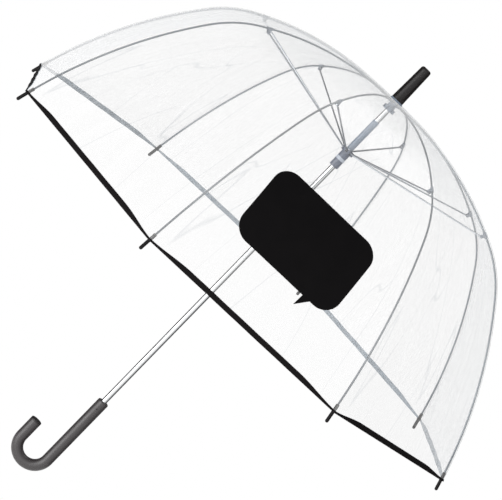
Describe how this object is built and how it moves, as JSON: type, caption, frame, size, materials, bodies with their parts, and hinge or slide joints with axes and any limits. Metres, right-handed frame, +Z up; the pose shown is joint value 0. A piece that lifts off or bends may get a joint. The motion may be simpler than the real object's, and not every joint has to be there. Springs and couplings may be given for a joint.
{
  "type": "dome umbrella",
  "caption": "Clear dome umbrella, open: shaft with crook handle, curved ribs and stretchers hinged to a crown and a sliding runner, under a transparent film with a dark hem.",
  "frame": {"origin": "on the shaft's axis, at the middle of the handle's straight grip", "axes": "+Z up the shaft towards the ferrule; the crook lies in the XZ plane and its free leg is on the -X side"},
  "size_m": [0.8748, 0.8748, 0.8642],
  "materials": {
    "chrome_tube": "polished",
    "black_plastic": "satin",
    "handle_plastic": "satin",
    "white_plastic": "satin",
    "clear_plastic": "gloss",
    "milky_sleeve": "satin",
    "steel": "satin",
    "rib_steel": "satin",
    "clear_film": "gloss",
    "black_tape": "satin"
  },
  "bodies": {
    "shaft": {"shaft_tube": "chrome_tube", "ferrule": "black_plastic", "canopy_washer": "clear_plastic", "crown_notch": "white_plastic", "crown_wire": "steel", "stop_sleeve": "milky_sleeve", "handle": "handle_plastic", "handle_end_cap": "black_plastic", "handle_pin": "steel", "canopy_film": "clear_film", "hem_tape": "black_tape"},
    "runner": {"runner": "white_plastic", "runner_band": "black_plastic", "runner_wire": "steel"},
    "top_catch": {"top_catch": "steel"},
    "bottom_catch": {"bottom_catch": "steel"},
    "rib_1": {"rib_1": "rib_steel", "rib_clip_1": "white_plastic"},
    "rib_end_1": {"rib_end_1": "rib_steel", "tip_1": "black_plastic"},
    "stretcher_1": {"stretcher_1": "rib_steel"},
    "rib_2": {"rib_2": "rib_steel", "rib_clip_2": "white_plastic"},
    "rib_end_2": {"rib_end_2": "rib_steel", "tip_2": "black_plastic"},
    "stretcher_2": {"stretcher_2": "rib_steel"},
    "rib_3": {"rib_3": "rib_steel", "rib_clip_3": "white_plastic"},
    "rib_end_3": {"rib_end_3": "rib_steel", "tip_3": "black_plastic"},
    "stretcher_3": {"stretcher_3": "rib_steel"},
    "rib_4": {"rib_4": "rib_steel", "rib_clip_4": "white_plastic"},
    "rib_end_4": {"rib_end_4": "rib_steel", "tip_4": "black_plastic"},
    "stretcher_4": {"stretcher_4": "rib_steel"},
    "rib_5": {"rib_5": "rib_steel", "rib_clip_5": "white_plastic"},
    "rib_end_5": {"rib_end_5": "rib_steel", "tip_5": "black_plastic"},
    "stretcher_5": {"stretcher_5": "rib_steel"},
    "rib_6": {"rib_6": "rib_steel", "rib_clip_6": "white_plastic"},
    "rib_end_6": {"rib_end_6": "rib_steel", "tip_6": "black_plastic"},
    "stretcher_6": {"stretcher_6": "rib_steel"},
    "rib_7": {"rib_7": "rib_steel", "rib_clip_7": "white_plastic"},
    "rib_end_7": {"rib_end_7": "rib_steel", "tip_7": "black_plastic"},
    "stretcher_7": {"stretcher_7": "rib_steel"},
    "rib_8": {"rib_8": "rib_steel", "rib_clip_8": "white_plastic"},
    "rib_end_8": {"rib_end_8": "rib_steel", "tip_8": "black_plastic"},
    "stretcher_8": {"stretcher_8": "rib_steel"}
  },
  "joints": [
    {"name": "rib_1_fold", "type": "hinge", "parent": "shaft", "child": "rib_1", "pos_m": [0.00736, 0.00425, 0.696], "axis": [-0.5, 0.866, 0], "range_deg": [0, 75], "deforming": ["canopy_film", "hem_tape"]},
    {"name": "rib_1_flex", "type": "hinge", "parent": "rib_1", "child": "rib_end_1", "pos_m": [0.21393, 0.12351, 0.64725], "axis": [-0.5, 0.866, 0], "range_deg": [-50, 0]},
    {"name": "stretcher_1_swing", "type": "hinge", "parent": "rib_1", "child": "stretcher_1", "pos_m": [0.20389, 0.11772, 0.64594], "axis": [-0.5, 0.866, 0], "range_deg": [-150, 0]},
    {"name": "rib_2_fold", "type": "hinge", "parent": "shaft", "child": "rib_2", "pos_m": [0.0022, 0.00821, 0.696], "axis": [-0.9659, 0.2588, 0], "range_deg": [0, 75]},
    {"name": "rib_2_flex", "type": "hinge", "parent": "rib_2", "child": "rib_end_2", "pos_m": [0.06393, 0.2386, 0.64725], "axis": [-0.9659, 0.2588, 0], "range_deg": [-50, 0]},
    {"name": "stretcher_2_swing", "type": "hinge", "parent": "rib_2", "child": "stretcher_2", "pos_m": [0.06093, 0.22741, 0.64594], "axis": [-0.9659, 0.2588, 0], "range_deg": [-150, 0]},
    {"name": "rib_3_fold", "type": "hinge", "parent": "shaft", "child": "rib_3", "pos_m": [-0.00425, 0.00736, 0.696], "axis": [-0.866, -0.5, 0], "range_deg": [0, 75]},
    {"name": "rib_3_flex", "type": "hinge", "parent": "rib_3", "child": "rib_end_3", "pos_m": [-0.12351, 0.21393, 0.64725], "axis": [-0.866, -0.5, 0], "range_deg": [-50, 0]},
    {"name": "stretcher_3_swing", "type": "hinge", "parent": "rib_3", "child": "stretcher_3", "pos_m": [-0.11772, 0.20389, 0.64594], "axis": [-0.866, -0.5, 0], "range_deg": [-150, 0]},
    {"name": "rib_4_fold", "type": "hinge", "parent": "shaft", "child": "rib_4", "pos_m": [-0.00821, 0.0022, 0.696], "axis": [-0.2588, -0.9659, 0], "range_deg": [0, 75]},
    {"name": "rib_4_flex", "type": "hinge", "parent": "rib_4", "child": "rib_end_4", "pos_m": [-0.2386, 0.06393, 0.64725], "axis": [-0.2588, -0.9659, 0], "range_deg": [-50, 0]},
    {"name": "stretcher_4_swing", "type": "hinge", "parent": "rib_4", "child": "stretcher_4", "pos_m": [-0.22741, 0.06093, 0.64594], "axis": [-0.2588, -0.9659, 0], "range_deg": [-150, 0]},
    {"name": "rib_5_fold", "type": "hinge", "parent": "shaft", "child": "rib_5", "pos_m": [-0.00736, -0.00425, 0.696], "axis": [0.5, -0.866, 0], "range_deg": [0, 75]},
    {"name": "rib_5_flex", "type": "hinge", "parent": "rib_5", "child": "rib_end_5", "pos_m": [-0.21393, -0.12351, 0.64725], "axis": [0.5, -0.866, 0], "range_deg": [-50, 0]},
    {"name": "stretcher_5_swing", "type": "hinge", "parent": "rib_5", "child": "stretcher_5", "pos_m": [-0.20389, -0.11772, 0.64594], "axis": [0.5, -0.866, 0], "range_deg": [-150, 0]},
    {"name": "rib_6_fold", "type": "hinge", "parent": "shaft", "child": "rib_6", "pos_m": [-0.0022, -0.00821, 0.696], "axis": [0.9659, -0.2588, 0], "range_deg": [0, 75]},
    {"name": "rib_6_flex", "type": "hinge", "parent": "rib_6", "child": "rib_end_6", "pos_m": [-0.06393, -0.2386, 0.64725], "axis": [0.9659, -0.2588, 0], "range_deg": [-50, 0]},
    {"name": "stretcher_6_swing", "type": "hinge", "parent": "rib_6", "child": "stretcher_6", "pos_m": [-0.06093, -0.22741, 0.64594], "axis": [0.9659, -0.2588, 0], "range_deg": [-150, 0]},
    {"name": "rib_7_fold", "type": "hinge", "parent": "shaft", "child": "rib_7", "pos_m": [0.00425, -0.00736, 0.696], "axis": [0.866, 0.5, 0], "range_deg": [0, 75]},
    {"name": "rib_7_flex", "type": "hinge", "parent": "rib_7", "child": "rib_end_7", "pos_m": [0.12351, -0.21393, 0.64725], "axis": [0.866, 0.5, 0], "range_deg": [-50, 0]},
    {"name": "stretcher_7_swing", "type": "hinge", "parent": "rib_7", "child": "stretcher_7", "pos_m": [0.11772, -0.20389, 0.64594], "axis": [0.866, 0.5, 0], "range_deg": [-150, 0]},
    {"name": "rib_8_fold", "type": "hinge", "parent": "shaft", "child": "rib_8", "pos_m": [0.00821, -0.0022, 0.696], "axis": [0.2588, 0.9659, 0], "range_deg": [0, 75]},
    {"name": "rib_8_flex", "type": "hinge", "parent": "rib_8", "child": "rib_end_8", "pos_m": [0.2386, -0.06393, 0.64725], "axis": [0.2588, 0.9659, 0], "range_deg": [-50, 0]},
    {"name": "stretcher_8_swing", "type": "hinge", "parent": "rib_8", "child": "stretcher_8", "pos_m": [0.22741, -0.06093, 0.64594], "axis": [0.2588, 0.9659, 0], "range_deg": [-150, 0]},
    {"name": "runner_travel", "type": "hinge", "parent": "stretcher_1", "child": "runner", "pos_m": [0.00736, 0.00425, 0.59588], "axis": [-0.5, 0.866, 0], "range_deg": [0, 75]},
    {"name": "top_catch_press", "type": "slide", "parent": "shaft", "child": "top_catch", "axis": [-0.6088, -0.7934, 0], "range_m": [0, 0.0013], "stiffness_N_per_m": 300},
    {"name": "bottom_catch_press", "type": "slide", "parent": "shaft", "child": "bottom_catch", "axis": [-0.6088, -0.7934, 0], "range_m": [0, 0.0013], "stiffness_N_per_m": 300}
  ],
  "couplings": [
    {"joint": "rib_1_flex", "follows": "rib_1_fold", "ratio": -0.66667},
    {"joint": "stretcher_1_swing", "follows": "rib_1_fold", "ratio": -2},
    {"joint": "rib_2_fold", "follows": "rib_1_fold", "ratio": 1},
    {"joint": "rib_2_flex", "follows": "rib_1_fold", "ratio": -0.66667},
    {"joint": "stretcher_2_swing", "follows": "rib_1_fold", "ratio": -2},
    {"joint": "rib_3_fold", "follows": "rib_1_fold", "ratio": 1},
    {"joint": "rib_3_flex", "follows": "rib_1_fold", "ratio": -0.66667},
    {"joint": "stretcher_3_swing", "follows": "rib_1_fold", "ratio": -2},
    {"joint": "rib_4_fold", "follows": "rib_1_fold", "ratio": 1},
    {"joint": "rib_4_flex", "follows": "rib_1_fold", "ratio": -0.66667},
    {"joint": "stretcher_4_swing", "follows": "rib_1_fold", "ratio": -2},
    {"joint": "rib_5_fold", "follows": "rib_1_fold", "ratio": 1},
    {"joint": "rib_5_flex", "follows": "rib_1_fold", "ratio": -0.66667},
    {"joint": "stretcher_5_swing", "follows": "rib_1_fold", "ratio": -2},
    {"joint": "rib_6_fold", "follows": "rib_1_fold", "ratio": 1},
    {"joint": "rib_6_flex", "follows": "rib_1_fold", "ratio": -0.66667},
    {"joint": "stretcher_6_swing", "follows": "rib_1_fold", "ratio": -2},
    {"joint": "rib_7_fold", "follows": "rib_1_fold", "ratio": 1},
    {"joint": "rib_7_flex", "follows": "rib_1_fold", "ratio": -0.66667},
    {"joint": "stretcher_7_swing", "follows": "rib_1_fold", "ratio": -2},
    {"joint": "rib_8_fold", "follows": "rib_1_fold", "ratio": 1},
    {"joint": "rib_8_flex", "follows": "rib_1_fold", "ratio": -0.66667},
    {"joint": "stretcher_8_swing", "follows": "rib_1_fold", "ratio": -2},
    {"joint": "runner_travel", "follows": "rib_1_fold", "ratio": 1}
  ]
}
